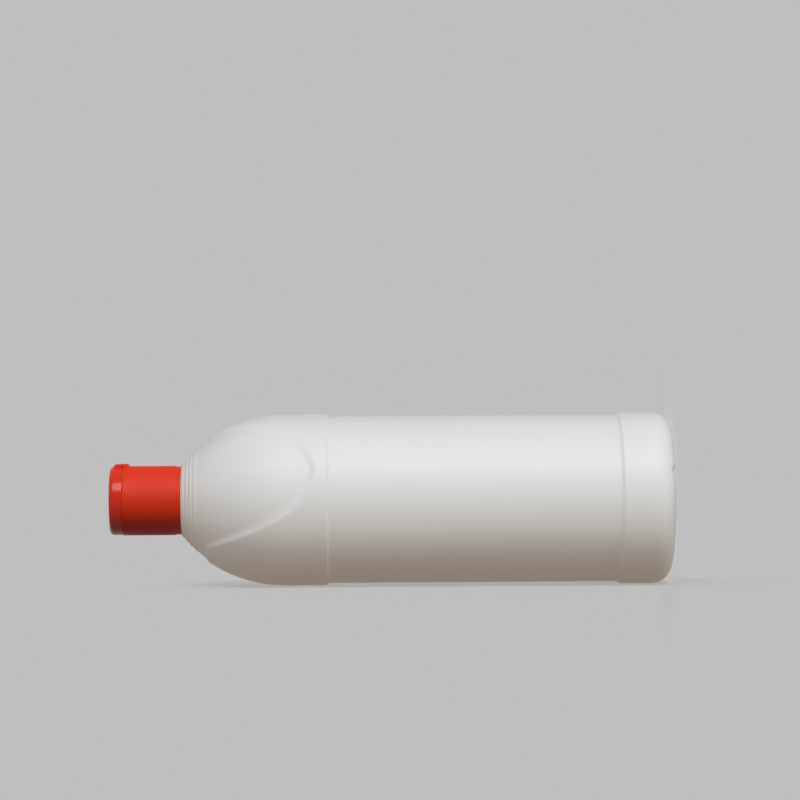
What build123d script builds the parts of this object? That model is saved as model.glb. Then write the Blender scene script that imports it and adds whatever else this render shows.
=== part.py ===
from build123d import *
import math
import os

# A one-litre bleach bottle: a blown bottle, a ribbed screw cap and a flip lid.
# Lengths are in millimetres. The origin is the centre of the base, on the surface that
# the bottle stands on. +Z runs up the bottle, and its two shoulder panels face -Y and +Y.

# Bottle: the round body, from the base up
band_radius = 41.0  # the base band and the shoulder band
label_recess = 1.0  # how far the label wall lies inside the bands
wall = 1.0
base_corner_radius = 9.2
standing_ring_width = 3.5
push_up = 4.5  # how far the middle of the base is lifted
base_band_height = 15.7
base_step_height = 1.0
label_height = 138.0
shoulder_step_height = 1.0
shoulder_band_height = 19.8
dome_arc_radius = 64.8

# Bottle: the pinched seam across the base, where the mould closed
pinch_depth = 1.3
pinch_half_width = 4.6
pinch_rounding = 2.0

# Bottle: the two sunk panels of the shoulder
panel_recess = 0.9
panel_tip_above_step = 5.0
panel_wrap_angle = 81.5  # degrees round from the panel's middle to its edge, at the top
panel_rise_share = 0.18  # the part of the panel's height that is above its widest level
panel_tip_ramp = 2.6  # the edge's width in the front view, at the tip and at the top
panel_side_ramp = 5.0  # its width half-way down the sides
collar_below_rings = 3.3  # from the grip rings down to where the two panels join
collar_ramp = 2.4  # the height of the slope that ends the raised sides
panel_steps = 12  # spans along the edge of a panel

# Bottle: the grip rings under the neck, and the neck
ring_count = 4
ring_pitch = 1.92
ring_height = 0.36
ring_flank_share = 0.27
shelf_radius = 16.35
neck_radius = 13.0
neck_wall = 2.0
neck_height = 25.1
neck_root_bevel = 1.2
neck_lip_bevel = 0.5

# Sealing washer, between the neck and the cap's deck
washer_thickness = 1.0
washer_side_gap = 0.3
seal_gap = 0.05

# Screw cap
thread_depth = 1.2
thread_clearance = 0.4
cap_wall = 1.95
cap_shelf_gap = 0.35  # between the shelf of the bottle and the mouth of the cap
cap_mouth_bevel = 0.4
deck_thickness = 1.6
cap_clock_angle = -22.0  # degrees from +X to the hinge
rib_count = 120
rib_depth = 0.3
cap_bead_height = 1.4
cap_bead_step = 0.25  # how far the bead at the mouth lies inside the ribs
cap_rim_height = 1.9
cap_rim_bevel = 0.5
land_width = 1.0
land_height = 0.8
land_gap = 0.3
orifice_radius = 4.8
spout_wall = 1.3
spout_height = 3.2
spout_bevel = 0.4

# Flip lid
seam_gap = 0.2
lid_step = 0.2  # how far the lid lies inside the skirt
lid_height = 6.1
lid_wall = 1.3
lid_rounding = 2.0
plug_gap = 0.4
plug_wall = 1.0
plug_reach = 1.8  # how far the plug goes into the orifice
plug_bevel = 0.4

# Hinge
hinge_width = 10.0
hinge_proud = 1.1
hinge_below_seam = 2.9
hinge_above_seam = 4.2
hinge_bevel = 0.9

# What joined solids share, how far cuts run past a face, and how full a round corner is
lap = 0.3
overrun = 5.0
round_share = 0.55

# Levels and radii that follow
label_radius = band_radius - label_recess
standing_ring_outer = band_radius - base_corner_radius
standing_ring_inner = standing_ring_outer - standing_ring_width
base_band_top = base_corner_radius + base_band_height
label_bottom = base_band_top + base_step_height
label_top = label_bottom + label_height
shoulder_band_bottom = label_top + shoulder_step_height
dome_start = shoulder_band_bottom + shoulder_band_height
dome_centre = band_radius - dome_arc_radius
shelf_level = dome_start + math.sqrt(
    (dome_arc_radius - panel_recess) ** 2 - (shelf_radius - dome_centre) ** 2
)
rings_level = shelf_level - ring_count * ring_pitch
collar_level = rings_level - collar_below_rings
panel_tip = shoulder_band_bottom + panel_tip_above_step
panel_widest = collar_level - panel_rise_share * (collar_level - panel_tip)
bore_radius = neck_radius - neck_wall
neck_top = shelf_level + neck_height
deck_underside = neck_top + washer_thickness + 2 * seal_gap
deck_top = deck_underside + deck_thickness
cap_mouth = shelf_level + cap_shelf_gap
cap_bore_radius = neck_radius + thread_depth + thread_clearance
cap_radius = cap_bore_radius + cap_wall
rib_root_radius = cap_radius - rib_depth
lid_bottom = deck_top + seam_gap
lid_top = lid_bottom + lid_height
lid_radius = cap_radius - lid_step
hinge_radius = cap_radius + hinge_proud
hinge_level = deck_top + seam_gap / 2


def at(radius, height):
    """A point of a turned profile."""
    return Vector(radius, 0, height)


def turned(*lines):
    """The solid that a closed profile makes when it is turned about the bottle's axis."""
    edges = [edge for line in lines for edge in line.edges()]
    return revolve(make_face(edges), Axis.Z)


def rounded(start, corner, end):
    """A curve that rounds a corner off and meets its two sides without a kink."""
    leaving = start + (corner - start) * round_share
    arriving = end + (corner - end) * round_share
    return Bezier(start, leaving, arriving, end)


def dome_radius(height, inset):
    """The bottle's radius at a height of the shoulder, inset from the raised surface."""
    above = max(height - dome_start, 0)
    return dome_centre + math.sqrt((dome_arc_radius - inset) ** 2 - above**2)


def dome_arc(low, high, inset):
    """The shoulder's outline between two heights."""
    middle = (low + high) / 2
    return ThreePointArc(*(at(dome_radius(z, inset), z) for z in (low, middle, high)))


def base_lines(inset):
    """The outline from the middle of the base up to the foot of the shoulder."""
    sphere_radius = (standing_ring_inner**2 + push_up**2) / (2 * push_up)
    sphere_centre = push_up - sphere_radius
    sphere_radius += inset
    rim = math.sqrt(sphere_radius**2 - (inset - sphere_centre) ** 2)
    half_way = sphere_centre + math.sqrt(sphere_radius**2 - (rim / 2) ** 2)
    lifted = ThreePointArc(at(0, push_up + inset), at(rim / 2, half_way), at(rim, inset))
    ring = Line(at(rim, inset), at(standing_ring_outer, inset))
    corner = rounded(
        at(standing_ring_outer, inset),
        at(band_radius - inset, inset),
        at(band_radius - inset, base_corner_radius),
    )
    side = Polyline(
        at(band_radius - inset, base_corner_radius),
        at(band_radius - inset, base_band_top),
        at(label_radius - inset, label_bottom),
        at(label_radius - inset, label_top),
        at(band_radius - panel_recess - inset, shoulder_band_bottom),
        at(band_radius - panel_recess - inset, dome_start),
    )
    return [lifted, ring, corner, side]


def ring_line():
    """The grip rings: steps up the sunk surface to the shelf, each with two flanks."""
    points = []
    for index in range(ring_count):
        low = rings_level + index * ring_pitch
        high = low + ring_pitch
        foot, head = (at(dome_radius(z, panel_recess), z) for z in (low, high))
        along = head - foot
        out = Vector(along.Z, 0, -along.X).normalized() * ring_height
        flank = along * ring_flank_share
        points += [foot, foot + flank + out, head - flank + out]
    return Polyline(*points, head)


def outer_core():
    """The bottle's outside with its whole shoulder sunk, and the neck."""
    neck = Polyline(
        at(shelf_radius, shelf_level),
        at(neck_radius + neck_root_bevel, shelf_level),
        at(neck_radius, shelf_level + neck_root_bevel),
        at(neck_radius, neck_top - neck_lip_bevel),
        at(neck_radius - neck_lip_bevel, neck_top),
        at(0, neck_top),
        at(0, push_up),
    )
    dome = dome_arc(dome_start, rings_level, panel_recess)
    return turned(*base_lines(0), dome, ring_line(), neck)


def inner_core():
    """The bottle's inside, a wall in from the sunk shoulder, and the bore of the neck."""
    inset = panel_recess + wall
    ceiling = shelf_level - wall
    bore = Polyline(
        at(dome_radius(ceiling, inset), ceiling),
        at(neck_radius, ceiling),
        at(bore_radius, ceiling + neck_wall),
        at(bore_radius, neck_top + overrun),
        at(0, neck_top + overrun),
        at(0, push_up + wall),
    )
    return turned(*base_lines(wall), dome_arc(dome_start, ceiling, inset), bore)


def panel_reach():
    """How far past its widest level a panel's edge runs on, as an angle of its ellipse."""
    return math.asin((collar_level - panel_widest) / (panel_widest - panel_tip))


def panel_edge_point(angle, foot_share, inset):
    """A point of a panel's edge: share 0 is its crest on the surface, and 1 its sunk foot."""
    down_the_side = 2 * max(math.sin(angle), 0) * abs(math.cos(angle))
    ramp = panel_tip_ramp + (panel_side_ramp - panel_tip_ramp) * down_the_side
    shrink = ramp * foot_share
    top_width = dome_radius(collar_level, 0) * math.sin(math.radians(panel_wrap_angle))
    across = (top_width / math.cos(panel_reach()) - shrink) * math.cos(angle)
    height = panel_widest - (panel_widest - panel_tip - shrink) * math.sin(angle)
    sunk = panel_recess * foot_share
    turn = math.asin(across / dome_radius(height, sunk))
    radius = dome_radius(height, sunk + inset)
    return Vector(radius * math.sin(turn), -radius * math.cos(turn), height)


def panel_section(points):
    """A closed wire: the edge's curve, and straight up and across above it."""
    right, left = points[0], points[-1]
    top_right = Vector(right.X, right.Y, shelf_level)
    top_left = Vector(left.X, left.Y, shelf_level)
    return Wire([Spline(*points), *Polyline(left, top_left, top_right, right).edges()])


def panel_cutter(inset):
    """What sinks the front panel: its walls slope out from the foot to the crest."""
    span = (math.pi + 2 * panel_reach()) / panel_steps
    feet, crests = [], []
    for index in range(panel_steps + 1):
        angle = index * span - panel_reach()
        foot = panel_edge_point(angle, 1, inset)
        crest = panel_edge_point(angle, 0, inset)
        slope = crest - foot
        feet.append(foot - slope / 2)
        crests.append(crest + slope)
    nearest = max(foot.Y for foot in feet) / 2
    furthest = -(band_radius + overrun)
    inner = [Vector(foot.X, nearest, foot.Z) for foot in feet]
    outer = [Vector(crest.X, furthest, crest.Z) for crest in crests]
    sections = [panel_section(points) for points in (inner, feet, crests, outer)]
    return Solid.make_loft(sections, ruled=True)


def raised_shoulder(inset):
    """The shoulder band and the raised sides that the two panels leave."""
    arc_top = collar_level - collar_ramp
    foot = Polyline(
        at(0, label_top),
        at(label_radius - inset, label_top),
        at(band_radius - inset, shoulder_band_bottom),
        at(band_radius - inset, dome_start),
    )
    collar = Polyline(
        at(dome_radius(arc_top, inset), arc_top),
        at(dome_radius(collar_level, panel_recess + inset), collar_level),
        at(0, collar_level),
        at(0, label_top),
    )
    front = panel_cutter(inset)
    back = front.mirror(Plane.XZ)
    return turned(foot, dome_arc(dome_start, arc_top, inset), collar) - front - back


def pinch(inset):
    """The rounded V across the base."""
    apex = pinch_depth + inset
    run = pinch_half_width * (apex + overrun) / pinch_depth
    corners = [(-run, -overrun), (0, apex), (run, -overrun)]
    profile = make_face(Polyline(*corners, close=True))
    profile = fillet(profile.vertices().sort_by(Axis.Y)[-1], pinch_rounding)
    return extrude(Plane.XZ * profile, band_radius, both=True)


def make_bottle():
    """The blown bottle, one hollow piece."""
    outside = outer_core() + raised_shoulder(0) - pinch(0)
    inside = inner_core() + raised_shoulder(wall) - pinch(wall)
    return outside - inside


def make_washer():
    """The flat ring that seals the cap against the neck."""
    low = neck_top + seal_gap
    high = low + washer_thickness
    outer = cap_bore_radius - washer_side_gap
    corners = [at(bore_radius, low), at(outer, low), at(outer, high), at(bore_radius, high)]
    return turned(Polyline(*corners, close=True))


def hinge_pad(carrier_radius, seam, far):
    """A block on the outside of the closure, bevelled at its far end."""
    root = math.sqrt(carrier_radius**2 - (hinge_width / 2) ** 2) - lap
    shoulder = far - math.copysign(hinge_bevel, far - seam)
    corners = [
        at(root, seam),
        at(hinge_radius, seam),
        at(hinge_radius, shoulder),
        at(hinge_radius - hinge_bevel, far),
        at(root, far),
    ]
    side = make_face(Polyline(*corners, close=True))
    return extrude(side, hinge_width / 2, both=True, dir=(0, 1, 0))


def cap_ribs():
    """The fine upright ribs of the skirt."""
    step = math.pi / rib_count
    points = []
    for index in range(rib_count):
        for radius, turn in ((cap_radius, 2 * index), (rib_root_radius, 2 * index + 1)):
            points.append((radius * math.cos(turn * step), radius * math.sin(turn * step)))
    low = cap_mouth + cap_bead_height
    high = deck_top - cap_rim_height
    ring = make_face(Polyline(*points, close=True)) - Circle(rib_root_radius - lap)
    return extrude(Pos(0, 0, low) * ring, high - low)


def make_cap():
    """The screw cap: skirt, deck, land for the lid, spout and hinge pad, one moulding."""
    bead_radius = cap_radius - cap_bead_step
    rim_low = deck_top - cap_rim_height
    land_radius = lid_radius - lid_wall - land_gap
    spout_radius = orifice_radius + spout_wall
    spout_top = deck_top + spout_height
    profile = Polyline(
        at(cap_bore_radius + cap_mouth_bevel, cap_mouth),
        at(bead_radius, cap_mouth),
        at(bead_radius, cap_mouth + cap_bead_height),
        at(rib_root_radius, cap_mouth + cap_bead_height),
        at(rib_root_radius, rim_low),
        at(cap_radius, rim_low),
        at(cap_radius, deck_top - cap_rim_bevel),
        at(cap_radius - cap_rim_bevel, deck_top),
        at(land_radius, deck_top),
        at(land_radius, deck_top + land_height),
        at(land_radius - land_width, deck_top + land_height),
        at(land_radius - land_width, deck_top),
        at(spout_radius, deck_top),
        at(spout_radius, spout_top - spout_bevel),
        at(spout_radius - spout_bevel, spout_top),
        at(orifice_radius, spout_top),
        at(orifice_radius, deck_underside),
        at(cap_bore_radius, deck_underside),
        at(cap_bore_radius, cap_mouth + cap_mouth_bevel),
        close=True,
    )
    pad = hinge_pad(rib_root_radius, deck_top, deck_top - hinge_below_seam)
    cap = turned(profile) + cap_ribs() + pad
    return Rot(0, 0, cap_clock_angle) * cap


def make_lid():
    """The flip lid, with the ring plug that closes the spout."""
    inner_radius = lid_radius - lid_wall
    underside = lid_top - lid_wall
    plug_radius = orifice_radius - plug_gap
    plug_end = deck_top + spout_height - plug_reach
    side = Line(at(lid_radius, lid_bottom), at(lid_radius, lid_top - lid_rounding))
    edge = rounded(
        at(lid_radius, lid_top - lid_rounding),
        at(lid_radius, lid_top),
        at(lid_radius - lid_rounding, lid_top),
    )
    inside = Polyline(
        at(lid_radius - lid_rounding, lid_top),
        at(0, lid_top),
        at(0, underside),
        at(plug_radius - plug_wall, underside),
        at(plug_radius - plug_wall, plug_end),
        at(plug_radius - plug_bevel, plug_end),
        at(plug_radius, plug_end + plug_bevel),
        at(plug_radius, underside),
        at(inner_radius, underside),
        at(inner_radius, lid_bottom),
        at(lid_radius, lid_bottom),
    )
    pad = hinge_pad(lid_radius, lid_bottom, deck_top + hinge_above_seam)
    lid = turned(side, edge, inside) + pad
    return Rot(0, 0, cap_clock_angle) * lid


os.makedirs("parts", exist_ok=True)
pieces = {
    "bottle": make_bottle(),
    "sealing_washer": make_washer(),
    "screw_cap": make_cap(),
    "flip_lid": make_lid(),
}
for name, piece in pieces.items():
    export_step(piece, f"parts/{name}.step")
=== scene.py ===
# %% [markdown]
# A one-litre bleach bottle with a ribbed screw cap and a flip lid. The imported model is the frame:
# it says where each solid is and what moves. It is loaded first, and its box is kept, because the
# visual pieces made below have to stay inside it.

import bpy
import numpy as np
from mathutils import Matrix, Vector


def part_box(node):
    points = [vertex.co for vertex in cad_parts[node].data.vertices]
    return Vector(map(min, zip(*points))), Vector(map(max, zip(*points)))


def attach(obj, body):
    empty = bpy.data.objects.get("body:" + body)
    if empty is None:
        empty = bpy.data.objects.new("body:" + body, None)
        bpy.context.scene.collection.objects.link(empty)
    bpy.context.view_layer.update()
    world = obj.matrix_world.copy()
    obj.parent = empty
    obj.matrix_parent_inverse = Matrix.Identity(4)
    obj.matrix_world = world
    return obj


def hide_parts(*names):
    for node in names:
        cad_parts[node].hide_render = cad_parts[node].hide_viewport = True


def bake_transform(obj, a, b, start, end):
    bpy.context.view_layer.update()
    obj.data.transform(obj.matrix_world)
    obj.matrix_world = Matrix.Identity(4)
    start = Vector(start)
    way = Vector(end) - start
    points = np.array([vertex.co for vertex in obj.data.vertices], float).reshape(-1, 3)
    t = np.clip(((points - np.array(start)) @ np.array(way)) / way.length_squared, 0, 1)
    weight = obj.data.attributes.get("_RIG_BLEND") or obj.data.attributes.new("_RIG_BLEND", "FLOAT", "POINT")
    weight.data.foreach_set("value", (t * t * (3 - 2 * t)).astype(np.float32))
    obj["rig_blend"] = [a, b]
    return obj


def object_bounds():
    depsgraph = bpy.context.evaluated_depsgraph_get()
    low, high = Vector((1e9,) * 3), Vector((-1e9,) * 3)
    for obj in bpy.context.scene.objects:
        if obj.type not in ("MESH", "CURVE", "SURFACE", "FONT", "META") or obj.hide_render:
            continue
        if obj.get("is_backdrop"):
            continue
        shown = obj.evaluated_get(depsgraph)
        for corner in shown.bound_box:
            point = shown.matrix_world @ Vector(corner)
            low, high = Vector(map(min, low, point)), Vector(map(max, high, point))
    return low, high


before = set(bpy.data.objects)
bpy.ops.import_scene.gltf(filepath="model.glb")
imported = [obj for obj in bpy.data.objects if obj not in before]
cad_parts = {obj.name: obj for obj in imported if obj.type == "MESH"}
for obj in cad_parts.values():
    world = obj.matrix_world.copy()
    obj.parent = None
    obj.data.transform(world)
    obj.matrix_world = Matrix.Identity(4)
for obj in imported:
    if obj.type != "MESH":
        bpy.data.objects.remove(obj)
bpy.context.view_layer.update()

import math

import bmesh
import bpy
import numpy as np
from mathutils import Matrix, Vector

# %% [markdown]
# The real bottle's sizes are easiest to read in millimetres, so each is written that way and
# multiplied by MM. Those below are the sizes of the solids. The levels that other pieces need are
# read from the solids' boxes, so a piece can't drift away from what carries it.

# %% Sizes that several pieces share
MM = 0.001
BAND_RADIUS = 41.0 * MM
LABEL_RADIUS = 40.0 * MM
WALL = 1.0 * MM
NECK_RADIUS = 13.0 * MM
BORE_RADIUS = 11.0 * MM
NECK_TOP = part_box("bottle")[1].z
NECK_HEIGHT = 25.1 * MM
SHELF = NECK_TOP - NECK_HEIGHT
CAP_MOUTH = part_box("screw_cap")[0].z
LID_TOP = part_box("flip_lid")[1].z
LID_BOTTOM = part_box("flip_lid")[0].z
LID_SEAM = 0.2 * MM
DECK_TOP = LID_BOTTOM - LID_SEAM
DECK_THICKNESS = 1.6 * MM
DECK_UNDERSIDE = DECK_TOP - DECK_THICKNESS
CAP_RADIUS = 16.55 * MM
HINGE_CLOCK = math.radians(-22.0)
HINGE_WAY = Vector((math.cos(HINGE_CLOCK), math.sin(HINGE_CLOCK), 0))
print("shelf", round(SHELF / MM, 2), "neck top", round(NECK_TOP / MM, 2), "mm")
print("deck", round(DECK_TOP / MM, 2), "lid top", round(LID_TOP / MM, 2), "mm")

# %% [markdown]
# The photograph shows the bottle lying on its side, seen from slightly above. The part stands on
# its base, so the camera lies on its side instead: the hinge is at the top of the picture, and the
# base is on the right. A long lens from more than one and a half metres gives the flat perspective
# of a studio shot. One picture point is 0.48 mm wide at the bottle's axis. The bottle lies very
# slightly turned to the camera, with the cap's end nearer, so the camera stands that much aside.

# %% The camera
PICTURE_SIDE = 800
SENSOR_WIDTH = 36
PICTURE_SCALE = 0.48 * MM
FOCAL_POINTS = 3440
CAMERA_ROLL = math.radians(-0.31)
CAMERA_ASIDE = math.radians(1.2)
AIM_HEIGHT = 129.45 * MM
AIM_ABOVE_AXIS = 47.6 * MM

picture_up = HINGE_WAY
to_camera = Vector((math.sin(HINGE_CLOCK), -math.cos(HINGE_CLOCK), 0))
picture_right = Vector((0, 0, -1))
aim = Vector((0, 0, AIM_HEIGHT)) + picture_up * AIM_ABOVE_AXIS
lens_data = bpy.data.cameras.new("camera")
lens_data.sensor_width = SENSOR_WIDTH
lens_data.lens = SENSOR_WIDTH * FOCAL_POINTS / PICTURE_SIDE
lens_data.clip_start = 0.05
lens_data.clip_end = 60
camera = bpy.data.objects.new("camera", lens_data)
bpy.context.scene.collection.objects.link(camera)
facing = Matrix((picture_right, picture_up, to_camera)).transposed().to_4x4()
camera.matrix_world = (
    Matrix.Translation(aim)
    @ facing
    @ Matrix.Rotation(-CAMERA_ASIDE, 4, "Y")
    @ Matrix.Translation((0, 0, FOCAL_POINTS * PICTURE_SCALE))
    @ Matrix.Rotation(CAMERA_ROLL, 4, "Z")
)
bpy.context.scene.camera = camera
print("camera", [round(x, 3) for x in camera.location], "lens", round(lens_data.lens, 1))

# %% [markdown]
# A finished piece is one mesh object at the origin. These helpers turn a bmesh into such an
# object, spin a section about the bottle's axis, and keep only the real corners sharp.

# %% Helpers for turned pieces
MERGE_DISTANCE = 0.002 * MM
SHARP_ANGLE = math.radians(32)


def section(points):
    """A bmesh with one chain of edges through (radius, height) points."""
    bm = bmesh.new()
    chain = [bm.verts.new((radius, 0, height)) for radius, height in points]
    for low, high in zip(chain, chain[1:]):
        bm.edges.new((low, high))
    return bm


def spin_section(bm, steps):
    """Turns the chain about the Z axis, and closes the seam and the poles."""
    bmesh.ops.spin(
        bm,
        geom=bm.verts[:] + bm.edges[:],
        cent=(0, 0, 0),
        axis=(0, 0, 1),
        angle=math.tau,
        steps=steps,
        use_merge=True,
    )
    bmesh.ops.remove_doubles(bm, verts=bm.verts[:], dist=MERGE_DISTANCE)
    bmesh.ops.recalc_face_normals(bm, faces=bm.faces[:])


def finished(bm, name):
    """Makes the object of a bmesh: smooth faces, and sharp edges where the shape turns."""
    for face in bm.faces:
        face.smooth = True
    for edge in bm.edges:
        edge.smooth = edge.calc_face_angle(0) < SHARP_ANGLE
    mesh = bpy.data.meshes.new(name)
    bm.to_mesh(mesh)
    bm.free()
    piece = bpy.data.objects.new(name, mesh)
    bpy.context.scene.collection.objects.link(piece)
    print(name, len(mesh.polygons), "faces")
    return piece


def arc(centre, radius, first, last, count):
    """Points (radius, height) along an arc, with its angles in degrees from outwards."""
    turns = np.radians(np.linspace(first, last, count))
    return [(centre[0] + radius * math.cos(t), centre[1] + radius * math.sin(t)) for t in turns]


# %% [markdown]
# The bottle is blown: a soft tube is shut in a mould and pressed against it by air, so it is a
# thin shell with soft corners. It could be cut from a solid as the CAD model is. Here one closed
# section, outside and inside, is spun instead, because that gives even rows of faces that can be
# pressed in afterwards. The shoulder needs many rows, because its two panels are pressed into it.
# The points of the inside carry a mark, which the spin copies, so both sides can be told apart.

# %% The bottle's sizes
BASE_CORNER = 9.2 * MM
PUSH_UP = 4.5 * MM
RING_INNER = 28.3 * MM
BASE_BAND_TOP = 24.9 * MM
LABEL_BOTTOM = 25.9 * MM
LABEL_TOP = 163.9 * MM
SHOULDER_BOTTOM = 164.9 * MM
DOME_START = 184.7 * MM
DOME_ARC = 64.8 * MM
PANEL_RECESS = 0.9 * MM
RING_COUNT = 4
RING_PITCH = 1.92 * MM
RING_HEIGHT = 0.22 * MM
RINGS = SHELF - RING_COUNT * RING_PITCH
COLLAR = RINGS - 3.3 * MM
COLLAR_RAMP = 2.4 * MM
SHELF_RADIUS = 16.35 * MM
NECK_ROOT = 1.5 * MM
LIP = 0.6 * MM
UPPER_STEP_SOFTNESS = 0.25 * MM
BASE_STEP_SOFTNESS = 0.5 * MM

# %% The bottle's section
def dome_radius(height, inset):
    """The shoulder's radius at a height, inset from its raised surface."""
    above = np.maximum(height - DOME_START, 0)
    return BAND_RADIUS - DOME_ARC + np.sqrt((DOME_ARC - inset) ** 2 - above**2)


def base_rows(inset, count):
    """The section from the middle of the base round the corner to the base band."""
    sphere = (RING_INNER**2 + PUSH_UP**2) / (2 * PUSH_UP)
    rim = math.degrees(math.asin(RING_INNER / sphere))
    lifted = arc((0, PUSH_UP - sphere), sphere + inset, 90, 90 - rim, count)
    flat = [(BAND_RADIUS - BASE_CORNER, inset)]
    corner_centre = (BAND_RADIUS - BASE_CORNER, BASE_CORNER)
    corner = arc(corner_centre, BASE_CORNER - inset, -90, 0, count)
    return lifted[:-1] + [(RING_INNER, inset)] + flat + corner[1:]


def step(low, high, soften, count):
    """A sloped step between two points, with both its corners softened."""
    (r0, z0), (r1, z1) = low, high
    rows = []
    for share in np.linspace(0, 1, count):
        eased = share * share * (3 - 2 * share)
        rows.append((r0 + (r1 - r0) * eased, z0 - soften + (z1 - z0 + 2 * soften) * share))
    return rows


def dome_rows(low, high, count, inset):
    """Rows of the shoulder between two heights."""
    return [(float(dome_radius(z, inset)), float(z)) for z in np.linspace(low, high, count)]


# Each line says where rows of the raised shoulder start and end, and how many there are. They
# lie closest where the panels have their tips.
SHOULDER_ROWS = (
    (169.4 * MM, 173.4 * MM, 19),
    (173.7 * MM, 177.2 * MM, 10),
    (177.8 * MM, COLLAR - COLLAR_RAMP - 0.5 * MM, 72),
    (COLLAR - COLLAR_RAMP, COLLAR, 7),
)
ROWS_PER_RING = 8

base_band_corner = (BAND_RADIUS, BASE_BAND_TOP)
shoulder_corner = (BAND_RADIUS, SHOULDER_BOTTOM)
outside = base_rows(0, 12)
outside += step(base_band_corner, (LABEL_RADIUS, LABEL_BOTTOM), BASE_STEP_SOFTNESS, 10)
outside += step((LABEL_RADIUS, LABEL_TOP), shoulder_corner, UPPER_STEP_SOFTNESS, 8)
for low, high, count in SHOULDER_ROWS:
    outside += dome_rows(low, high, count, 0)
outside += dome_rows(COLLAR + 1.0 * MM, RINGS, 4, PANEL_RECESS)
first_ring_row = RINGS + RING_PITCH / ROWS_PER_RING
outside += dome_rows(first_ring_row, SHELF, RING_COUNT * ROWS_PER_RING, PANEL_RECESS)[:-1]
outside += [(SHELF_RADIUS, SHELF)]
outside += arc((NECK_RADIUS + NECK_ROOT, SHELF + NECK_ROOT), NECK_ROOT, -90, -180, 6)
outside += arc((NECK_RADIUS - LIP, NECK_TOP - LIP), LIP, 0, 90, 5)
inside = arc((BORE_RADIUS + LIP, NECK_TOP - LIP), LIP, 90, 180, 4)
inside += [(BORE_RADIUS, SHELF + WALL), (NECK_RADIUS, SHELF - WALL)]
inside += dome_rows(SHELF - 2.2 * WALL, COLLAR + 0.8 * MM, 4, WALL + PANEL_RECESS)
inside += dome_rows(COLLAR - 0.2 * MM, 166.4 * MM, 24, WALL)
inside += [(LABEL_RADIUS - WALL, LABEL_TOP), (LABEL_RADIUS - WALL, LABEL_BOTTOM)]
inside += [(BAND_RADIUS - WALL, BASE_BAND_TOP)]
inside += base_rows(WALL, 5)[::-1]
BOTTLE_STEPS = 360
bottle_bm = section(outside + inside)
inside_mark = bottle_bm.verts.layers.float.new("inside_mark")
bottle_bm.verts.ensure_lookup_table()
for vert in bottle_bm.verts[len(outside):]:
    vert[inside_mark] = 1.0
print("bottle section", len(outside), "rows outside,", len(inside), "inside")
spin_section(bottle_bm, BOTTLE_STEPS)

# %% [markdown]
# The shoulder of the real bottle has two large sunk panels, front and back. Seen from the front
# each is a long arch that stands on its tip. Its edge is short and steep at the tip, and wide and
# shallow down the sides, where it is crisp at the crest and dies away into the panel. The edge
# could be cut with a boolean and bevelled, but that gives it one width. Here every row of the
# shoulder is pressed in by how far inside the arch it lies, and the slope's shape changes on the
# way round.

# %% Where the panels lie
PANEL_TIP = SHOULDER_BOTTOM + 5.0 * MM
PANEL_WIDEST = COLLAR - 0.18 * (COLLAR - PANEL_TIP)
PANEL_TIP_RAMP = 2.6 * MM
PANEL_SIDE_RAMP = 5.0 * MM
PANEL_HALF_WIDTH = 28.54 * MM
DEPTH_SEARCH = (-8 * MM, 24 * MM)
SEARCH_STEPS = 26
CREST_SOFTNESS_SHARE = 0.08
SIDE_EASE = 1.8
TIP_EASE = 1.5
SIDE_DEGREES = 45
TIP_DEGREES = 75


def ease_ramp(share, side_share):
    """0 before the ramp, 1 after it: steepest at the crest on the sides, at the foot at the tip."""
    ramp = np.clip(share, 0, 1)
    on_side = 1 - (1 - ramp) ** SIDE_EASE
    at_tip = ramp**TIP_EASE
    eased = at_tip + (on_side - at_tip) * side_share
    near_crest = (share + CREST_SOFTNESS_SHARE) / (2 * CREST_SOFTNESS_SHARE)
    near_crest = np.clip(near_crest, 0, 1)
    return eased * near_crest * near_crest * (3 - 2 * near_crest)


def depth_in_arch(across, height):
    """How far inside the arch's edge a point lies, in the front view."""
    low = np.full_like(across, DEPTH_SEARCH[0])
    high = np.full_like(across, DEPTH_SEARCH[1])
    for _ in range(SEARCH_STEPS):
        middle = (low + high) / 2
        wide = across / (PANEL_HALF_WIDTH - middle)
        tall = (PANEL_WIDEST - height) / (PANEL_WIDEST - PANEL_TIP - middle)
        inner = wide**2 + tall**2 < 1
        low = np.where(inner, middle, low)
        high = np.where(inner, high, middle)
    return low


def sunk_share(radius, turn, height):
    """0 on the raised surface, 1 on a panel's floor, for points of the shoulder."""
    across = radius * np.abs(np.sin(turn))
    tall = (PANEL_WIDEST - height) / (PANEL_WIDEST - PANEL_TIP)
    round_arch = np.arctan2(tall, across / PANEL_HALF_WIDTH)
    down_the_side = 2 * np.maximum(np.sin(round_arch), 0) * np.abs(np.cos(round_arch))
    ramp = PANEL_TIP_RAMP + (PANEL_SIDE_RAMP - PANEL_TIP_RAMP) * down_the_side
    side_share = (TIP_DEGREES - np.degrees(round_arch)) / (TIP_DEGREES - SIDE_DEGREES)
    side_share = np.clip(side_share, 0, 1)
    panel = ease_ramp(depth_in_arch(across, height) / ramp, side_share)
    collar = np.clip((height - COLLAR + COLLAR_RAMP) / COLLAR_RAMP, 0, 1)
    return np.maximum(panel, collar * collar * (3 - 2 * collar))


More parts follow.
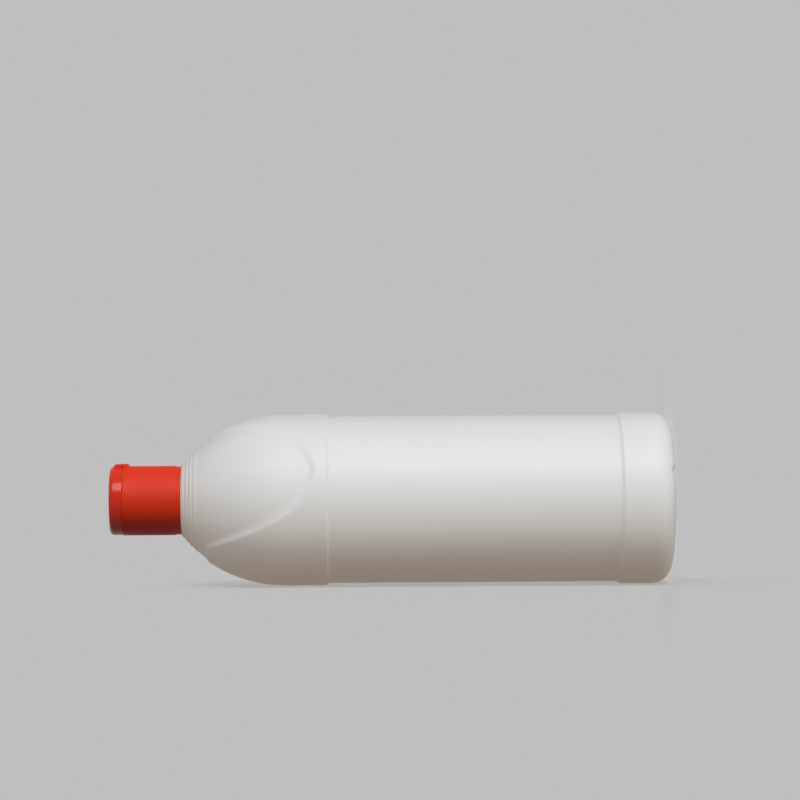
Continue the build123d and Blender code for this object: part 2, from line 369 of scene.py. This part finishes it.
# %% Pressing the shoulder
def press_shoulder(bm):
    """Moves the rows of the shoulder in by the panels and out by the grip rings."""
    points = np.array([vert.co for vert in bm.verts])
    radius = np.hypot(points[:, 0], points[:, 1])
    turn = np.arctan2(points[:, 0], -points[:, 1])
    height = points[:, 2]
    raised = dome_radius(height, 0)
    is_shoulder = (height > SHOULDER_BOTTOM + 0.7 * MM) & (height < COLLAR + 0.5 * MM)
    is_inner = np.array([vert[inside_mark] > 0.5 for vert in bm.verts])
    inset = np.where(is_inner, WALL, 0)
    share = sunk_share(raised, turn, height)
    # A point that sinks comes nearer to the middle of the front view, so its share is found anew.
    for _ in range(2):
        share = sunk_share(dome_radius(height, share * PANEL_RECESS), turn, height)
    pressed = dome_radius(height, share * PANEL_RECESS + inset)
    radius = np.where(is_shoulder, pressed, radius)
    above = (height > COLLAR + 0.5 * MM) & (height < SHELF - 0.02 * MM)
    place = (height - RINGS) / RING_PITCH
    bump = RING_HEIGHT * np.abs(np.sin(np.pi * place)) ** 1.5
    in_rings = above & ~is_inner & (place > 0)
    slope = (height - DOME_START) / DOME_ARC
    radius = np.where(in_rings, radius + bump * np.sqrt(1 - slope**2), radius)
    height = np.where(in_rings, height + bump * slope, height)
    for vert, r, t, z in zip(bm.verts, radius, turn, height):
        vert.co = (r * math.sin(t), -r * math.cos(t), z)
    print("sunk share from", round(float(share.min()), 2), "to", round(float(share.max()), 2))


press_shoulder(bottle_bm)

# %% [markdown]
# Where the mould closes it pinches the soft tube shut, and leaves a shallow groove across the
# base. It shows in the photograph as a notch at the end of the bottle. It isn't cut: the rows of
# the base that lie below the groove's rounded roof are lifted to it. The groove is a little deeper
# than in the solid, so that it shows in the picture.

# %% The pinched groove across the base
PINCH_DEPTH = 2.1 * MM
PINCH_HALF_WIDTH = 4.4 * MM
PINCH_SOFTNESS = 0.35 * MM


def groove_roof(across):
    """The height of the groove's roof, a rounded V."""
    slope = PINCH_DEPTH / PINCH_HALF_WIDTH
    rounded = np.sqrt(across**2 + PINCH_SOFTNESS**2) - 0.4 * PINCH_SOFTNESS
    return PINCH_DEPTH - slope * rounded


def pinch_base(bm):
    """Lifts the outside and the inside of the base to the groove's roof."""
    lifted = 0
    for vert in bm.verts:
        roof = float(groove_roof(vert.co.x))
        if vert[inside_mark] > 0.5:
            vert.co.z = max(vert.co.z, roof + WALL)
        elif vert.co.z < roof:
            vert.co.z = roof
            lifted += 1
    print("groove lifts", lifted, "points")


pinch_base(bottle_bm)
bottle_bm.verts.layers.float.remove(inside_mark)

# %% [markdown]
# The neck carries a raised right-handed thread, which the cap's own thread climbs. A thread is a
# small section that is spun and lifted at the same time. Its ends run out into the wall, as a
# moulded thread's do, so that they don't look cut off.

# %% Threads
THREAD_PITCH = 4.0 * MM
THREAD_DEPTH = 1.15 * MM
THREAD_FOOT = 1.15 * MM
THREAD_CREST = 0.45 * MM
THREAD_SINK = 0.2 * MM
THREAD_TURNS = 2.25
THREAD_STEPS = int(72 * THREAD_TURNS)
THREAD_START = math.radians(200)
RUN_OUT_SHARE = 0.12


def thread(root_radius, depth, low):
    """A bmesh of a thread ridge: depth is negative for a thread that points inwards."""
    sunk = -THREAD_SINK if depth > 0 else THREAD_SINK
    bm = section(
        [
            (root_radius + sunk, -THREAD_FOOT),
            (root_radius + depth, -THREAD_CREST),
            (root_radius + depth, THREAD_CREST),
            (root_radius + sunk, THREAD_FOOT),
        ]
    )
    bm.edges.new((bm.verts[:][3], bm.verts[:][0]))
    rise = THREAD_PITCH * THREAD_TURNS / THREAD_STEPS
    bmesh.ops.spin(
        bm,
        geom=bm.verts[:] + bm.edges[:],
        cent=(0, 0, 0),
        axis=(0, 0, 1),
        dvec=(0, 0, rise),
        angle=math.tau * THREAD_TURNS,
        steps=THREAD_STEPS,
    )
    ends = [edge for edge in bm.edges if edge.is_boundary]
    bmesh.ops.holes_fill(bm, edges=ends, sides=4)
    run_out = THREAD_PITCH * RUN_OUT_SHARE
    for vert in bm.verts:
        radius = vert.co.xy.length
        is_foot = abs(radius - root_radius - sunk) <= 0.01 * MM
        if is_foot:
            continue
        turn = math.atan2(vert.co.y, vert.co.x) % math.tau / math.tau
        level = vert.co.z - turn * THREAD_PITCH
        along = THREAD_PITCH * (round(level / THREAD_PITCH) + turn)
        share = min(1, min(along, THREAD_PITCH * THREAD_TURNS - along) / run_out)
        share = max(share, 0)
        kept = root_radius + sunk + (depth - sunk) * share
        vert.co.x *= kept / radius
        vert.co.y *= kept / radius
    start = Matrix.Rotation(THREAD_START, 3, "Z")
    bmesh.ops.rotate(bm, verts=bm.verts[:], cent=(0, 0, 0), matrix=start)
    bmesh.ops.translate(bm, verts=bm.verts[:], vec=(0, 0, low))
    bmesh.ops.recalc_face_normals(bm, faces=bm.faces[:])
    return bm


def add_bmesh(target, part):
    """Adds one bmesh to another and frees it."""
    carrier = bpy.data.meshes.new("carrier")
    part.to_mesh(carrier)
    part.free()
    target.from_mesh(carrier)
    bpy.data.meshes.remove(carrier)


NECK_THREAD_LOW = SHELF + 6.5 * MM
add_bmesh(bottle_bm, thread(NECK_RADIUS, THREAD_DEPTH, NECK_THREAD_LOW))
bottle = finished(bottle_bm, "bottle_shell")

# %% [markdown]
# The screw cap is one moulding: a skirt with fine upright ribs for grip, a plain bead at its mouth
# and a plain rim under the lid, then the deck with the pour spout in the middle and the low land
# that centres the lid. It is spun with four columns for each rib, and the ribs are then pressed
# in. Pressing keeps every rib the same, and costs few faces.

# %% The screw cap's sizes
RIB_COUNT = 120
COLUMNS_PER_RIB = 4
RIB_DEPTH = 0.3 * MM
RIB_VALLEY = 0.11 * MM
MOUTH_EDGE = CAP_MOUTH - 0.18 * MM
BEAD_TOP = CAP_MOUTH + 1.4 * MM
RIM_BOTTOM = DECK_TOP - 1.9 * MM
CAP_BORE = 14.6 * MM
LAND_RADIUS = 14.75 * MM
ORIFICE = 4.8 * MM
SPOUT_RADIUS = 6.1 * MM
SPOUT_TOP = DECK_TOP + 3.2 * MM
BEAD_SET_BACK = 0.25 * MM
BEAD_ROUNDING = 0.22 * MM
RIM_ROUNDING = 0.25 * MM
LAND_TOP = DECK_TOP + 0.8 * MM
LAND_WIDTH = 1.0 * MM
SPOUT_ROUNDING = 0.4 * MM
ORIFICE_ROUNDING = 0.3 * MM

# %% The screw cap's section
cap_rows = [(CAP_BORE + 0.4 * MM, MOUTH_EDGE)]
bead_middle = CAP_RADIUS - BEAD_SET_BACK - BEAD_ROUNDING
cap_rows += arc((bead_middle, MOUTH_EDGE + BEAD_ROUNDING), BEAD_ROUNDING, -90, 0, 4)
cap_rows += arc((bead_middle, BEAD_TOP - BEAD_ROUNDING), BEAD_ROUNDING, 0, 60, 3)
cap_rows += [(CAP_RADIUS - RIB_DEPTH, BEAD_TOP + 0.05 * MM)]
cap_rows += [(CAP_RADIUS - 0.7 * RIB_DEPTH, BEAD_TOP + 0.5 * MM)]
cap_rows += [(CAP_RADIUS - 0.25 * RIB_DEPTH, BEAD_TOP + 1.1 * MM)]
skirt_levels = np.linspace(BEAD_TOP + 1.8 * MM, RIM_BOTTOM - 0.5 * MM, 5)
cap_rows += [(CAP_RADIUS, level) for level in skirt_levels]
cap_rows += [(CAP_RADIUS, RIM_BOTTOM), (CAP_RADIUS, RIM_BOTTOM + 0.2 * MM)]
cap_rows += arc((CAP_RADIUS - RIM_ROUNDING, DECK_TOP - RIM_ROUNDING), RIM_ROUNDING, 0, 90, 5)
cap_rows += [(LAND_RADIUS, DECK_TOP), (LAND_RADIUS, DECK_TOP + 0.55 * MM)]
cap_rows += [(LAND_RADIUS - 0.25 * MM, LAND_TOP), (LAND_RADIUS - 0.8 * MM, LAND_TOP)]
cap_rows += [(LAND_RADIUS - LAND_WIDTH, DECK_TOP + 0.6 * MM), (LAND_RADIUS - LAND_WIDTH, DECK_TOP)]
cap_rows += [(SPOUT_RADIUS + 0.6 * MM, DECK_TOP), (SPOUT_RADIUS, DECK_TOP + 0.6 * MM)]
spout_middle = (SPOUT_RADIUS - SPOUT_ROUNDING, SPOUT_TOP - SPOUT_ROUNDING)
cap_rows += arc(spout_middle, SPOUT_ROUNDING, 0, 90, 5)
orifice_middle = (ORIFICE + ORIFICE_ROUNDING, SPOUT_TOP - ORIFICE_ROUNDING)
cap_rows += arc(orifice_middle, ORIFICE_ROUNDING, 90, 180, 4)
cap_rows += [(ORIFICE, DECK_UNDERSIDE), (CAP_BORE, DECK_UNDERSIDE), (CAP_BORE, MOUTH_EDGE + 0.4 * MM)]
cap_rows += [cap_rows[0]]
cap_bm = section(cap_rows)
spin_section(cap_bm, RIB_COUNT * COLUMNS_PER_RIB)


# %% The ribs
def press_ribs(bm):
    """Presses the valleys between the ribs into the skirt's plain wall."""
    rib_low = BEAD_TOP + 0.06 * MM
    rib_high = RIM_BOTTOM - 0.01 * MM
    for vert in bm.verts:
        radius = vert.co.xy.length
        if rib_low < vert.co.z < rib_high and radius > CAP_RADIUS - RIB_DEPTH:
            turn = math.atan2(vert.co.y, vert.co.x)
            valley = 0.5 - 0.5 * math.cos(RIB_COUNT * turn)
            kept = (radius - RIB_VALLEY * valley) / radius
            vert.co.x *= kept
            vert.co.y *= kept


press_ribs(cap_bm)

# %% [markdown]
# The lid hangs on a living hinge: two small blocks on the outside, one on the skirt and one on the
# lid, and a thin film of the same plastic between them. Each block is a cube that is stretched to
# size, with its far edge bevelled back to the wall and its other edges just broken.

# %% Hinge blocks
HINGE_RADIUS = 17.65 * MM
HINGE_WIDTH = 10.0 * MM
HINGE_BEVEL = 0.9 * MM
HINGE_EDGE_BEVEL = 0.18 * MM
BLOCK_ROOT = 15.2 * MM
PAD_LOW = DECK_TOP - 2.9 * MM
PAD_HIGH = DECK_TOP + 4.2 * MM


def hinge_block(low, high, bevelled_end):
    """A bmesh of one hinge block, turned to the hinge's side of the closure."""
    bm = bmesh.new()
    bmesh.ops.create_cube(bm, size=1)
    depth = HINGE_RADIUS - BLOCK_ROOT
    bmesh.ops.scale(bm, verts=bm.verts[:], vec=(depth, HINGE_WIDTH, high - low))
    middle = Vector((BLOCK_ROOT + depth / 2, 0, (low + high) / 2))
    bmesh.ops.translate(bm, verts=bm.verts[:], vec=middle)
    far = [v for v in bm.verts if v.co.x > middle.x and abs(v.co.z - bevelled_end) < 0.01 * MM]
    far_edge = [e for e in bm.edges if all(v in far for v in e.verts)]
    bmesh.ops.bevel(
        bm, geom=far_edge, offset=HINGE_BEVEL, affect="EDGES", segments=1, profile=0.5, material=-1
    )
    front = [e for e in bm.edges if all(v.co.x > BLOCK_ROOT + 0.1 * MM for v in e.verts)]
    bmesh.ops.bevel(
        bm, geom=front, offset=HINGE_EDGE_BEVEL, affect="EDGES", segments=2, profile=0.5, material=-1
    )
    turned = Matrix.Rotation(HINGE_CLOCK, 3, "Z")
    bmesh.ops.rotate(bm, verts=bm.verts[:], cent=(0, 0, 0), matrix=turned)
    return bm


CAP_THREAD_LOW = SHELF + 8.3 * MM
add_bmesh(cap_bm, hinge_block(PAD_LOW, DECK_TOP, PAD_LOW))
add_bmesh(cap_bm, thread(CAP_BORE, -THREAD_DEPTH, CAP_THREAD_LOW))
cap = finished(cap_bm, "cap_moulding")

# %% [markdown]
# The flip lid is a shallow glossy cup, turned over. Its top edge has a soft rounding that catches
# the light. Inside it a ring plug goes down into the spout and shuts it.

# %% The flip lid
LID_RADIUS = 16.35 * MM
LID_WALL = 1.3 * MM
LID_ROUNDING = 2.0 * MM
LID_EDGE = LID_BOTTOM - 0.11 * MM
PLUG_RADIUS = ORIFICE - 0.4 * MM
PLUG_WALL = 1.0 * MM
PLUG_END = SPOUT_TOP - 1.8 * MM
LID_STEPS = 240

underside = LID_TOP - LID_WALL
lid_bore = LID_RADIUS - LID_WALL
rounding_middle = (LID_RADIUS - LID_ROUNDING, LID_TOP - LID_ROUNDING)
lid_rows = [(0, LID_TOP), (4 * MM, LID_TOP), (9 * MM, LID_TOP)]
lid_rows += arc(rounding_middle, LID_ROUNDING, 90, 0, 12)
lid_rows += [(LID_RADIUS, LID_EDGE + 0.12 * MM), (LID_RADIUS - 0.1 * MM, LID_EDGE)]
lid_rows += [(lid_bore, LID_EDGE), (lid_bore, underside - 0.6 * MM)]
lid_rows += [(lid_bore - 0.6 * MM, underside), (PLUG_RADIUS, underside)]
lid_rows += [(PLUG_RADIUS, PLUG_END + 0.4 * MM)]
lid_rows += [(PLUG_RADIUS - 0.4 * MM, PLUG_END), (PLUG_RADIUS - PLUG_WALL, PLUG_END)]
lid_rows += [(PLUG_RADIUS - PLUG_WALL, underside), (0, underside)]
lid_bm = section(lid_rows)
spin_section(lid_bm, LID_STEPS)
add_bmesh(lid_bm, hinge_block(LID_BOTTOM, PAD_HIGH, PAD_HIGH))
lid = finished(lid_bm, "lid_moulding")

# %% [markdown]
# The film bridges the gap between the blocks at the hinge's axis. It is a thin plate with enough
# rows to bend, and it is blended from the cap to the lid, so that it folds as the lid opens.

# %% The hinge film
FILM_THICKNESS = 0.7 * MM
FILM_REACH = 0.5 * MM
FILM_WIDTH = HINGE_WIDTH - 0.2 * MM
FILM_FACE = HINGE_RADIUS - 0.02 * MM - FILM_THICKNESS

film_bm = bmesh.new()
bmesh.ops.create_grid(film_bm, x_segments=12, y_segments=10, size=0.5)
plate = (
    Matrix.Rotation(HINGE_CLOCK, 4, "Z")
    @ Matrix.Translation((FILM_FACE, 0, (DECK_TOP + LID_BOTTOM) / 2))
    @ Matrix.Rotation(math.pi / 2, 4, "Y")
    @ Matrix.Diagonal((2 * FILM_REACH, FILM_WIDTH, 1, 1))
)
bmesh.ops.transform(film_bm, matrix=plate, verts=film_bm.verts[:])
bmesh.ops.recalc_face_normals(film_bm, faces=film_bm.faces[:])
bmesh.ops.solidify(film_bm, geom=film_bm.faces[:], thickness=-FILM_THICKNESS)
bmesh.ops.recalc_face_normals(film_bm, faces=film_bm.faces[:])
film = finished(film_bm, "hinge_film")

# %% [markdown]
# Blown polyethylene is never dead flat: the mould's fine blasting leaves a faint peel, and the
# tube leaves faint streaks along the bottle. All the finishes share one node group for such a
# surface. It puts out a height for the bump and a mask that varies gloss and colour.

# %% A node group for moulded surfaces
STREAK_STRETCH = 0.04
CLOUD_SCALE = 34.0


def moulded_surface():
    """Peel, streaks along the axis and slow cloudiness, all from object coordinates."""
    group = bpy.data.node_groups.new("moulded_surface", "ShaderNodeTree")
    face = group.interface
    face.new_socket(name="Vector", in_out="INPUT", socket_type="NodeSocketVector")
    for name in ("Peel Scale", "Streak Scale", "Streak Share"):
        face.new_socket(name=name, in_out="INPUT", socket_type="NodeSocketFloat")
    for name in ("Height", "Cloud"):
        face.new_socket(name=name, in_out="OUTPUT", socket_type="NodeSocketFloat")
    nodes, links = group.nodes, group.links
    given = nodes.new("NodeGroupInput")
    peel = nodes.new("ShaderNodeTexNoise")
    peel.inputs["Detail"].default_value = 2.0
    links.new(given.outputs["Vector"], peel.inputs["Vector"])
    links.new(given.outputs["Peel Scale"], peel.inputs["Scale"])
    stretch = nodes.new("ShaderNodeMapping")
    stretch.inputs["Scale"].default_value = (1.0, 1.0, STREAK_STRETCH)
    links.new(given.outputs["Vector"], stretch.inputs["Vector"])
    streak = nodes.new("ShaderNodeTexNoise")
    streak.inputs["Detail"].default_value = 3.0
    links.new(stretch.outputs["Vector"], streak.inputs["Vector"])
    links.new(given.outputs["Streak Scale"], streak.inputs["Scale"])
    height = nodes.new("ShaderNodeMix")
    links.new(given.outputs["Streak Share"], height.inputs["Factor"])
    links.new(peel.outputs["Fac"], height.inputs["A"])
    links.new(streak.outputs["Fac"], height.inputs["B"])
    cloud = nodes.new("ShaderNodeTexNoise")
    cloud.inputs["Scale"].default_value = CLOUD_SCALE
    cloud.inputs["Detail"].default_value = 5.0
    cloud.inputs["Roughness"].default_value = 0.62
    links.new(given.outputs["Vector"], cloud.inputs["Vector"])
    made = nodes.new("NodeGroupOutput")
    links.new(height.outputs["Result"], made.inputs["Height"])
    links.new(cloud.outputs["Fac"], made.inputs["Cloud"])
    return group


surface_group = moulded_surface()

# %% [markdown]
# One function paints every moulded plastic. The cloud mask moves the colour and the roughness a
# little, and the height goes to a fine bump. What is the same all over stays on the shader itself.

# %% A moulded plastic
MIDDLE_OF_PART = 130 * MM


def plastic(
    name, colours, roughness, peel, streak, streak_share, bump_mm, strength, ior=1.5, specular=0.5
):
    """A moulded plastic: two close colours, a range of roughness and a fine bump."""
    material = bpy.data.materials.new(name)
    material.use_nodes = True
    nodes, links = material.node_tree.nodes, material.node_tree.links
    shader = nodes["Principled BSDF"]
    shader.inputs["IOR"].default_value = ior
    shader.inputs["Specular IOR Level"].default_value = specular
    place = nodes.new("ShaderNodeTexCoord")
    centred = nodes.new("ShaderNodeMapping")
    centred.inputs["Location"].default_value = (0.0, 0.0, -MIDDLE_OF_PART)
    links.new(place.outputs["Object"], centred.inputs["Vector"])
    surface = nodes.new("ShaderNodeGroup")
    surface.node_tree = surface_group
    surface.inputs["Peel Scale"].default_value = peel
    surface.inputs["Streak Scale"].default_value = streak
    surface.inputs["Streak Share"].default_value = streak_share
    links.new(centred.outputs["Vector"], surface.inputs["Vector"])
    tint = nodes.new("ShaderNodeMix")
    tint.data_type = "RGBA"
    tint.inputs["A"].default_value = (*colours[0], 1.0)
    tint.inputs["B"].default_value = (*colours[1], 1.0)
    links.new(surface.outputs["Cloud"], tint.inputs["Factor"])
    links.new(tint.outputs["Result"], shader.inputs["Base Color"])
    gloss = nodes.new("ShaderNodeMapRange")
    gloss.inputs["From Min"].default_value = 0.3
    gloss.inputs["From Max"].default_value = 0.7
    gloss.inputs["To Min"].default_value = roughness[0]
    gloss.inputs["To Max"].default_value = roughness[1]
    links.new(surface.outputs["Cloud"], gloss.inputs["Value"])
    links.new(gloss.outputs["Result"], shader.inputs["Roughness"])
    bump = nodes.new("ShaderNodeBump")
    bump.inputs["Strength"].default_value = strength
    bump.inputs["Distance"].default_value = bump_mm * MM
    links.new(surface.outputs["Height"], bump.inputs["Height"])
    links.new(bump.outputs["Normal"], shader.inputs["Normal"])
    return material


# %% [markdown]
# The bottle is satin white, the closure orange-red, glossy on the lid and satin on the cap, and the
# sealing washer dull foam. The colours were set by comparing the picture with the photograph.

# %% The finishes
WHITE = ((0.80, 0.795, 0.785), (0.83, 0.828, 0.82))
RED = ((0.89, 0.042, 0.007), (0.94, 0.050, 0.010))
LID_RED = ((0.83, 0.028, 0.004), (0.88, 0.034, 0.006))
FOAM = ((0.78, 0.78, 0.75), (0.86, 0.86, 0.84))
POLYPROPYLENE_IOR = 1.49
white_polyethylene = plastic(
    "white_polyethylene",
    WHITE,
    roughness=(0.46, 0.54),
    peel=900,
    streak=260,
    streak_share=0.55,
    bump_mm=0.03,
    strength=0.35,
)
red_gloss = plastic(
    "red_gloss",
    LID_RED,
    roughness=(0.16, 0.22),
    peel=1100,
    streak=500,
    streak_share=0.2,
    bump_mm=0.02,
    strength=0.25,
    ior=POLYPROPYLENE_IOR,
    specular=0.35,
)
red_satin = plastic(
    "red_satin",
    RED,
    roughness=(0.42, 0.50),
    peel=1400,
    streak=500,
    streak_share=0.2,
    bump_mm=0.02,
    strength=0.35,
    ior=POLYPROPYLENE_IOR,
    specular=0.25,
)
foam = plastic(
    "foam_washer",
    FOAM,
    roughness=(0.75, 0.9),
    peel=2400,
    streak=900,
    streak_share=0.1,
    bump_mm=0.08,
    strength=0.8,
)

# %% Which piece has which finish
for piece, finish in (
    (bottle, white_polyethylene),
    (cap, red_satin),
    (lid, red_gloss),
    (film, red_satin),
):
    piece.data.materials.append(finish)
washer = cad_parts["sealing_washer"]
washer.data.materials.clear()
washer.data.materials.append(foam)

# %% [markdown]
# Each piece rides on the body that carries it. The three mouldings stand for their plain solids,
# and the film bends between the cap and the lid.

# %% What rides on what
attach(bottle, "bottle")
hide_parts("bottle")
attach(cap, "cap")
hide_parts("screw_cap")
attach(lid, "lid")
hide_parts("flip_lid")
seam = HINGE_WAY * HINGE_RADIUS
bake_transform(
    film,
    "cap",
    "lid",
    start=seam + Vector((0, 0, DECK_TOP)),
    end=seam + Vector((0, 0, LID_BOTTOM)),
)

# %% [markdown]
# The stage is plain and pale. Its backdrop is the world itself, in one tone. A lying bottle rests
# on its side and a standing one on its base, so two level patches of ground are there to take a
# soft shadow: the bench along the side, for the photograph's view, and the floor under the base.
# Each glows a little and reflects a little, so that its open part has the backdrop's tone, and
# fades out before its edge. Only the camera sees them, so they send no light to the bottle. The
# bench fades out from the shoulder on, because the open lid of a turned cap hangs lower than it.

# %% A helper for Math nodes
def worked_out(tree, operation, first, second):
    """The value of a Math node that works on two outputs, kept between 0 and 1."""
    node = tree.nodes.new("ShaderNodeMath")
    node.operation = operation
    node.use_clamp = True
    tree.links.new(first, node.inputs[0])
    tree.links.new(second, node.inputs[1])
    return node.outputs["Value"]


# %% Ground that fades out
GROUND_COLOUR = 0.26


def ground_paint(name, glow, half_sizes, full_share):
    """Pale ground that fades out away from its middle, and that only the camera sees."""
    material = bpy.data.materials.new(name)
    material.use_nodes = True
    tree = material.node_tree
    nodes, links = tree.nodes, tree.links
    shader = nodes["Principled BSDF"]
    shader.inputs["Base Color"].default_value = (GROUND_COLOUR, GROUND_COLOUR, GROUND_COLOUR, 1)
    shader.inputs["Roughness"].default_value = 1.0
    shader.inputs["Specular IOR Level"].default_value = 0.0
    shader.inputs["Emission Color"].default_value = (1, 1, 1, 1)
    shader.inputs["Emission Strength"].default_value = glow
    place = nodes.new("ShaderNodeTexCoord")
    squeeze = nodes.new("ShaderNodeMapping")
    squeeze.inputs["Scale"].default_value = (1 / half_sizes[0], 1 / half_sizes[1], 1)
    links.new(place.outputs["Object"], squeeze.inputs["Vector"])
    length = nodes.new("ShaderNodeVectorMath")
    length.operation = "LENGTH"
    links.new(squeeze.outputs["Vector"], length.inputs[0])
    fade = nodes.new("ShaderNodeMapRange")
    fade.interpolation_type = "SMOOTHERSTEP"
    fade.inputs["From Min"].default_value = full_share
    fade.inputs["From Max"].default_value = 1.0
    fade.inputs["To Min"].default_value = 1.0
    fade.inputs["To Max"].default_value = 0.0
    links.new(length.outputs["Value"], fade.inputs["Value"])
    path = nodes.new("ShaderNodeLightPath")
    side = nodes.new("ShaderNodeNewGeometry")
    front = worked_out(tree, "SUBTRACT", path.outputs["Is Camera Ray"], side.outputs["Backfacing"])
    shown = worked_out(tree, "MULTIPLY", front, fade.outputs["Result"])
    links.new(shown, shader.inputs["Alpha"])
    return material


def ground(name, matrix, glow, half_sizes, full_share):
    """One patch of ground as a stage plane."""
    bm = bmesh.new()
    bmesh.ops.create_grid(bm, x_segments=1, y_segments=1, size=1)
    bmesh.ops.scale(bm, verts=bm.verts[:], vec=(*half_sizes, 1))
    patch = finished(bm, name)
    patch.matrix_world = matrix
    patch.data.materials.append(ground_paint(name + "_paint", glow, half_sizes, full_share))
    patch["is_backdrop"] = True


# %% Bench and floor
GROUND_GAP = 0.01 * MM
BENCH_MIDDLE = 96 * MM
FLOOR_BEHIND = 20 * MM
bench_facing = Matrix((to_camera, picture_right, picture_up)).transposed().to_4x4()
bench_place = Vector((0, 0, BENCH_MIDDLE)) - picture_up * (BAND_RADIUS + GROUND_GAP)
ground(
    "bench",
    Matrix.Translation(bench_place) @ bench_facing,
    glow=0.346,
    half_sizes=(0.09, 0.166),
    full_share=0.55,
)
floor_place = Vector((0, 0, -GROUND_GAP)) - to_camera * FLOOR_BEHIND
ground(
    "floor",
    Matrix.Translation(floor_place),
    glow=0.458,
    half_sizes=(0.08, 0.08),
    full_share=0.35,
)

# %% [markdown]
# One large soft light stands on the camera's side, fifty degrees up in the picture and a little to
# its right, as the sheen on the bottle and the lid shows. It is long in the bottle's direction, so
# the sheen runs evenly from end to end.

# %% A soft lamp
def softbox(name, rise_degrees, aside, distance, sides, energy, colour=(1, 1, 1)):
    """A lamp that faces the bottle. Its rise is measured from the camera's way, up in the picture."""
    lamp_data = bpy.data.lights.new(name, "AREA")
    lamp_data.shape = "RECTANGLE"
    lamp_data.size, lamp_data.size_y = sides
    lamp_data.energy = energy
    lamp_data.color = colour
    lamp = bpy.data.objects.new(name, lamp_data)
    bpy.context.scene.collection.objects.link(lamp)
    lamp.visible_camera = False
    rise = math.radians(rise_degrees)
    way = to_camera * math.cos(rise) + picture_up * math.sin(rise) + picture_right * aside
    way.normalize()
    middle_of_bottle = Vector((0, 0, AIM_HEIGHT))
    turned = way.to_track_quat("Z", "Y").to_matrix().to_4x4()
    lamp.matrix_world = Matrix.Translation(middle_of_bottle + way * distance) @ turned
    return lamp


softbox("key_light", 50, 0.13, 1.5, (0.7, 1.3), 15.9, (0.955, 0.96, 1.0))

# %% [markdown]
# In the photograph the closure's shaded side is far darker than the bottle's, because a thin wall
# of polyethylene lets light through, which softens and warms its shade. Scattering in the material
# would do that with much noise, so two weak lamps that shine on the bottle alone stand for it: a
# cool one from the front and a warm one from below. Two more, one from each end, keep the dome and
# the round corner of the base pale to their very edges, and the last lights the side that is turned
# away. No fill shows as a reflection.

# %% The fills
def lit_pieces(name, pieces):
    """A collection of the pieces that a fill lights."""
    lit = bpy.data.collections.new(name)
    for piece in pieces:
        lit.objects.link(piece)
    return lit


bottle_alone = lit_pieces("bottle_alone", (bottle,))
all_pieces = lit_pieces("all_pieces", (bottle, cap, lid, film))
# Rise in degrees, share aside, distance and sides in metres, watts and colour.
for lamp, lit in (
    (softbox("front_fill", -5, 0.0, 2.0, (1.2, 1.2), 7.4, (0.76, 0.95, 1.0)), bottle_alone),
    (softbox("warm_fill", -60, 0.0, 1.2, (0.8, 1.0), 2.3, (1.0, 0.44, 0.08)), bottle_alone),
    (softbox("base_fill", 50, 2.5, 1.2, (0.8, 0.8), 3.5, (1.0, 0.92, 0.78)), all_pieces),
    (softbox("neck_fill", 50, -2.5, 1.2, (0.8, 0.8), 3.1, (1.0, 0.92, 0.82)), all_pieces),
    (softbox("back_light", 180, 0.0, 1.4, (0.9, 1.2), 14.0), all_pieces),
):
    lamp.light_linking.receiver_collection = lit
    lamp.visible_glossy = False

# %% [markdown]
# The world does two jobs. It gives a weak light from everywhere, and it is the backdrop, which is
# paler. Light Path tells them apart: what the camera, a gloss or a clear piece sees is backdrop.

# %% World light and backdrop
WORLD_LIGHT = 0.07
BACKGROUND = 0.52

world = bpy.data.worlds.new("world")
bpy.context.scene.world = world
world.use_nodes = True
world_nodes, world_links = world.node_tree.nodes, world.node_tree.links
soft = world_nodes["Background"]
soft.inputs["Color"].default_value = (1, 1, 1, 1)
soft.inputs["Strength"].default_value = WORLD_LIGHT
plain = world_nodes.new("ShaderNodeBackground")
plain.inputs["Color"].default_value = (BACKGROUND, BACKGROUND, BACKGROUND, 1)
ray = world_nodes.new("ShaderNodeLightPath").outputs
mirrored = worked_out(world.node_tree, "MAXIMUM", ray["Is Glossy Ray"], ray["Is Transmission Ray"])
seen = worked_out(world.node_tree, "MAXIMUM", ray["Is Camera Ray"], mirrored)
choose = world_nodes.new("ShaderNodeMixShader")
world_links.new(seen, choose.inputs["Fac"])
world_links.new(soft.outputs["Background"], choose.inputs[1])
world_links.new(plain.outputs["Background"], choose.inputs[2])
world_links.new(choose.outputs["Shader"], world_nodes["World Output"].inputs["Surface"])

# %% [markdown]
# Colours are shown as they are written. The last line prints the size of the box round the
# visual pieces, without the stage.

# %% Closing
bpy.context.scene.view_settings.view_transform = "Standard"
low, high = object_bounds()
print("visual", [round(1000 * (b - a), 2) for a, b in zip(low, high)], "mm")
